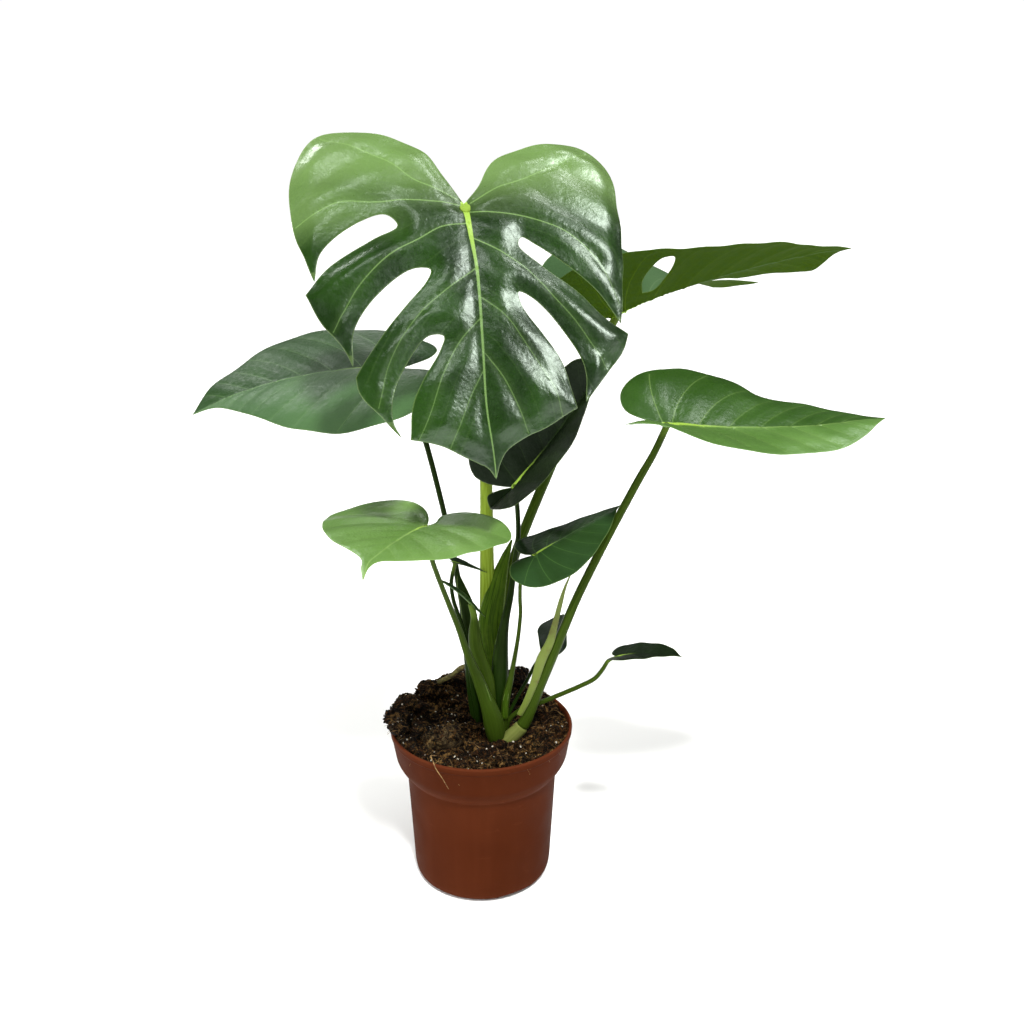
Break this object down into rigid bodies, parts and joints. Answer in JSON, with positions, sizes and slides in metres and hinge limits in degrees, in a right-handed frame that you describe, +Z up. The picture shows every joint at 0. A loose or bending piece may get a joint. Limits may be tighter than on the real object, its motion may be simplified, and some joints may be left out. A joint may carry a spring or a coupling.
{
  "type": "potted monstera plant",
  "caption": "Young split-leaf monstera with heart-shaped, slotted and small leaves on long stalks, standing in soil in a round nursery pot with a straight collar.",
  "frame": {"origin": "centre of the pot's foot, on the surface that the pot stands on", "axes": "+Z up, out of the pot; the plant faces -Y, and +X is on the right as seen from the front"},
  "size_m": [0.5216, 0.3304, 0.5907],
  "materials": {
    "gloss_leaf": "gloss",
    "fresh_leaf": "satin",
    "olive_leaf": "satin",
    "shade_leaf": "satin",
    "stalk": "satin",
    "dark_stalk": "satin",
    "pale_sheath": "matte",
    "root": "matte",
    "crown": "satin",
    "pot": "satin",
    "soil": "matte"
  },
  "bodies": {
    "root": {"main_leaf_blade": "gloss_leaf", "main_leaf_stalk": "stalk", "back_right_leaf_blade": "olive_leaf", "back_right_leaf_stalk": "stalk", "left_leaf_blade": "shade_leaf", "left_leaf_stalk": "dark_stalk", "right_leaf_blade": "fresh_leaf", "right_leaf_stalk": "stalk", "front_left_leaf_blade": "fresh_leaf", "front_left_leaf_stalk": "stalk", "shaded_leaf_blade": "shade_leaf", "shaded_leaf_stalk": "dark_stalk", "middle_leaf_blade": "shade_leaf", "middle_leaf_stalk": "stalk", "small_back_leaf_blade": "shade_leaf", "small_back_leaf_stalk": "dark_stalk", "small_right_leaf_blade": "shade_leaf", "small_right_leaf_stalk": "stalk", "small_left_leaf_blade": "shade_leaf", "small_left_leaf_stalk": "dark_stalk", "new_leaf_blade": "shade_leaf", "new_leaf_stalk": "stalk", "dry_sheath": "pale_sheath", "aerial_root": "root", "crown": "crown", "pot": "pot", "soil": "soil"}
  },
  "joints": []
}
